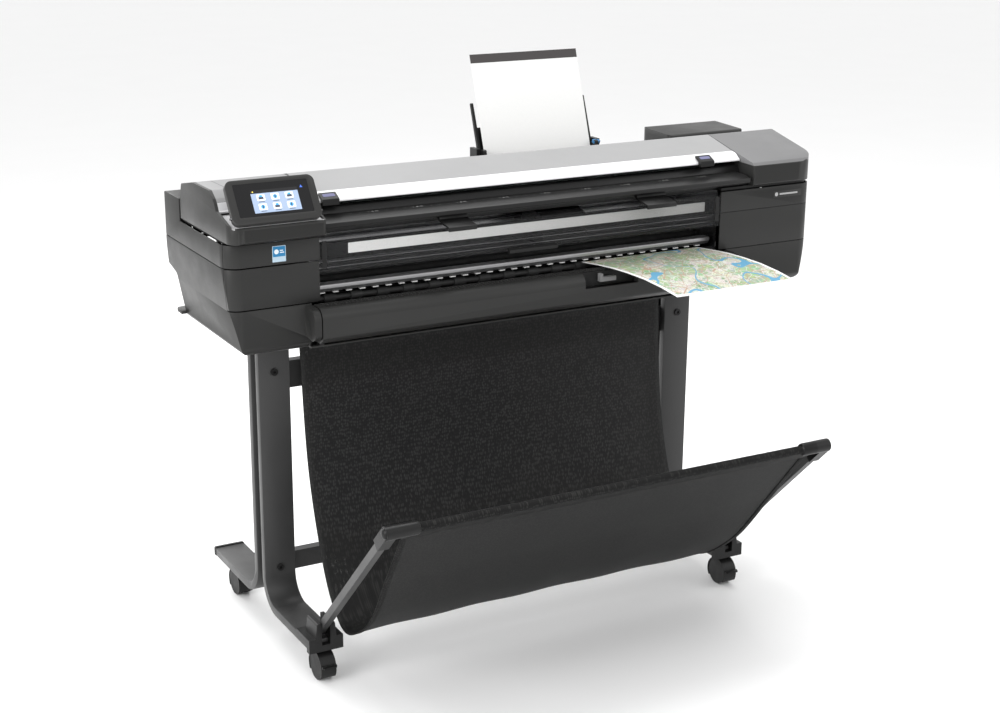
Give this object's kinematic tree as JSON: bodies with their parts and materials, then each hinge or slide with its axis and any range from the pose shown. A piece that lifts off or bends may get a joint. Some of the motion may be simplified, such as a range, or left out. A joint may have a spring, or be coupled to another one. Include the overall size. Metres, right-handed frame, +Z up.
{
  "type": "large format plotter",
  "caption": "Wide inkjet plotter with sheet scanner, touch display, roll bay and sheet feeder on a wheeled stand with a mesh catch basket.",
  "frame": {"origin": "on the floor, at the middle of the machine's footprint", "axes": "+Z up, -Y towards the operator, +X to the operator's right"},
  "size_m": [1.424, 0.899, 1.2142],
  "materials": {
    "frame_metal": "satin",
    "steel": "brushed",
    "bright_steel": "polished",
    "black_plastic": "fine grain",
    "charcoal_plastic": "fine grain",
    "silver_plastic": "satin",
    "smoked_plastic": "gloss",
    "clear_glass": "gloss",
    "display": "gloss",
    "mesh_fabric": "open weave",
    "media": "matte",
    "print": "satin",
    "wheel": "matte",
    "roller_rubber": "matte",
    "ink": "satin"
  },
  "bodies": {
    "machine": {"left_front_leg": "frame_metal", "left_rear_leg": "frame_metal", "right_front_leg": "frame_metal", "right_rear_leg": "frame_metal", "leg_spines": "black_plastic", "lower_cross_brace": "frame_metal", "upper_cross_beam": "frame_metal", "leg_bolts": "black_plastic", "foot_fittings": "black_plastic", "fabric_back": "mesh_fabric", "bottom_pan": "charcoal_plastic", "left_side_cover": "charcoal_plastic", "left_upper_cover": "charcoal_plastic", "ink_cartridges": "ink", "right_cover": "charcoal_plastic", "rear_cover": "charcoal_plastic", "rear_sockets": "black_plastic", "inner_frame": "steel", "carriage_rail": "steel", "platen": "black_plastic", "star_wheel_bar": "bright_steel", "roll_supports": "black_plastic", "scanner_base": "black_plastic", "scanner_glass": "clear_glass", "scanner_input_tray": "black_plastic", "left_pod": "charcoal_plastic", "right_pod": "charcoal_plastic", "electronics_box": "charcoal_plastic", "tray_base": "black_plastic", "tray_sheet": "media", "printed_sheet": "print"},
    "basket_frame": {"basket_tubes": "frame_metal", "basket_elbows": "black_plastic", "fabric_front": "mesh_fabric", "fabric_trough": "mesh_fabric"},
    "ink_door": {"ink_door": "charcoal_plastic"},
    "window": {"window": "smoked_plastic", "window_grip": "black_plastic"},
    "roll_cover": {"roll_cover": "charcoal_plastic"},
    "spindle": {"spindle": "black_plastic", "paper_roll": "media"},
    "feed_roller": {"feed_roller": "roller_rubber"},
    "exit_roller": {"exit_roller": "roller_rubber"},
    "carriage": {"carriage": "black_plastic"},
    "scanner_lid": {"scanner_lid": "silver_plastic"},
    "left_latch": {"left_lid_latch": "black_plastic"},
    "right_latch": {"right_lid_latch": "black_plastic"},
    "display": {"display_housing": "charcoal_plastic", "display_glass": "display"},
    "tray_rest": {"tray_arms": "black_plastic"},
    "left_front_fork": {"left_front_caster_fork": "black_plastic"},
    "left_front_wheels": {"left_front_caster_wheels": "wheel"},
    "left_rear_fork": {"left_rear_caster_fork": "black_plastic"},
    "left_rear_wheels": {"left_rear_caster_wheels": "wheel"},
    "left_pedal": {"left_brake_pedal": "black_plastic"},
    "right_front_fork": {"right_front_caster_fork": "black_plastic"},
    "right_front_wheels": {"right_front_caster_wheels": "wheel"},
    "right_rear_fork": {"right_rear_caster_fork": "black_plastic"},
    "right_rear_wheels": {"right_rear_caster_wheels": "wheel"},
    "right_pedal": {"right_brake_pedal": "black_plastic"}
  },
  "joints": [
    {"name": "left_front_swivel", "type": "hinge", "parent": "machine", "child": "left_front_fork", "pos_m": [-0.5425, -0.083, 0.06], "axis": [0, 0, 1], "continuous": true},
    {"name": "left_front_roll", "type": "hinge", "parent": "left_front_fork", "child": "left_front_wheels", "pos_m": [-0.5425, -0.099, 0.0295], "axis": [1, 0, 0], "continuous": true},
    {"name": "left_rear_swivel", "type": "hinge", "parent": "machine", "child": "left_rear_fork", "pos_m": [-0.5425, 0.394, 0.06], "axis": [0, 0, 1], "continuous": true},
    {"name": "left_rear_roll", "type": "hinge", "parent": "left_rear_fork", "child": "left_rear_wheels", "pos_m": [-0.5425, 0.378, 0.0295], "axis": [1, 0, 0], "continuous": true},
    {"name": "left_brake", "type": "hinge", "parent": "left_front_fork", "child": "left_pedal", "pos_m": [-0.5425, -0.136, 0.0395], "axis": [1, 0, 0], "range_deg": [0, 14]},
    {"name": "right_front_swivel", "type": "hinge", "parent": "machine", "child": "right_front_fork", "pos_m": [0.4795, -0.083, 0.06], "axis": [0, 0, 1], "continuous": true},
    {"name": "right_front_roll", "type": "hinge", "parent": "right_front_fork", "child": "right_front_wheels", "pos_m": [0.4795, -0.099, 0.0295], "axis": [1, 0, 0], "continuous": true},
    {"name": "right_rear_swivel", "type": "hinge", "parent": "machine", "child": "right_rear_fork", "pos_m": [0.4795, 0.394, 0.06], "axis": [0, 0, 1], "continuous": true},
    {"name": "right_rear_roll", "type": "hinge", "parent": "right_rear_fork", "child": "right_rear_wheels", "pos_m": [0.4795, 0.378, 0.0295], "axis": [1, 0, 0], "continuous": true},
    {"name": "right_brake", "type": "hinge", "parent": "right_front_fork", "child": "right_pedal", "pos_m": [0.4795, -0.136, 0.0395], "axis": [1, 0, 0], "range_deg": [0, 14]},
    {"name": "basket_fold", "type": "hinge", "parent": "machine", "child": "basket_frame", "pos_m": [0, -0.095, 0.108], "axis": [1, 0, 0], "range_deg": [-35, 0], "deforming": ["fabric_trough"]},
    {"name": "ink_door_hinge", "type": "hinge", "parent": "machine", "child": "ink_door", "pos_m": [-0.6, -0.065, 0.807], "axis": [1, 0, 0], "range_deg": [0, 60]},
    {"name": "window_hinge", "type": "hinge", "parent": "machine", "child": "window", "pos_m": [-0.0315, -0.0665, 0.918], "axis": [-1, 0, 0], "range_deg": [0, 70]},
    {"name": "roll_cover_hinge", "type": "hinge", "parent": "machine", "child": "roll_cover", "pos_m": [-0.029, -0.082, 0.728], "axis": [1, 0, 0], "range_deg": [0, 75]},
    {"name": "spindle_turn", "type": "hinge", "parent": "machine", "child": "spindle", "pos_m": [-0.031, -0.066, 0.76], "axis": [1, 0, 0], "continuous": true},
    {"name": "feed_roller_turn", "type": "hinge", "parent": "machine", "child": "feed_roller", "pos_m": [-0.031, 0.04, 0.818], "axis": [1, 0, 0], "continuous": true},
    {"name": "exit_roller_turn", "type": "hinge", "parent": "machine", "child": "exit_roller", "pos_m": [-0.031, -0.022, 0.794], "axis": [1, 0, 0], "continuous": true},
    {"name": "carriage_travel", "type": "slide", "parent": "machine", "child": "carriage", "axis": [1, 0, 0], "range_m": [-0.54, 0.29]},
    {"name": "scanner_lid_hinge", "type": "hinge", "parent": "machine", "child": "scanner_lid", "pos_m": [0.016, 0.168, 1.01], "axis": [-1, 0, 0], "range_deg": [0, 60]},
    {"name": "left_latch_slide", "type": "slide", "parent": "scanner_lid", "child": "left_latch", "axis": [0, -1, 0], "range_m": [0, 0.004], "stiffness_N_per_m": 400},
    {"name": "right_latch_slide", "type": "slide", "parent": "scanner_lid", "child": "right_latch", "axis": [0, -1, 0], "range_m": [0, 0.004], "stiffness_N_per_m": 400},
    {"name": "display_tilt", "type": "hinge", "parent": "machine", "child": "display", "pos_m": [-0.609, -0.086, 0.99], "axis": [1, 0, 0], "range_deg": [-20, 0]},
    {"name": "tray_fold", "type": "hinge", "parent": "machine", "child": "tray_rest", "pos_m": [0.17, 0.266, 1], "axis": [1, 0, 0], "range_deg": [-25, 0]}
  ],
  "couplings": [
    {"joint": "exit_roller_turn", "follows": "feed_roller_turn", "ratio": 1}
  ]
}
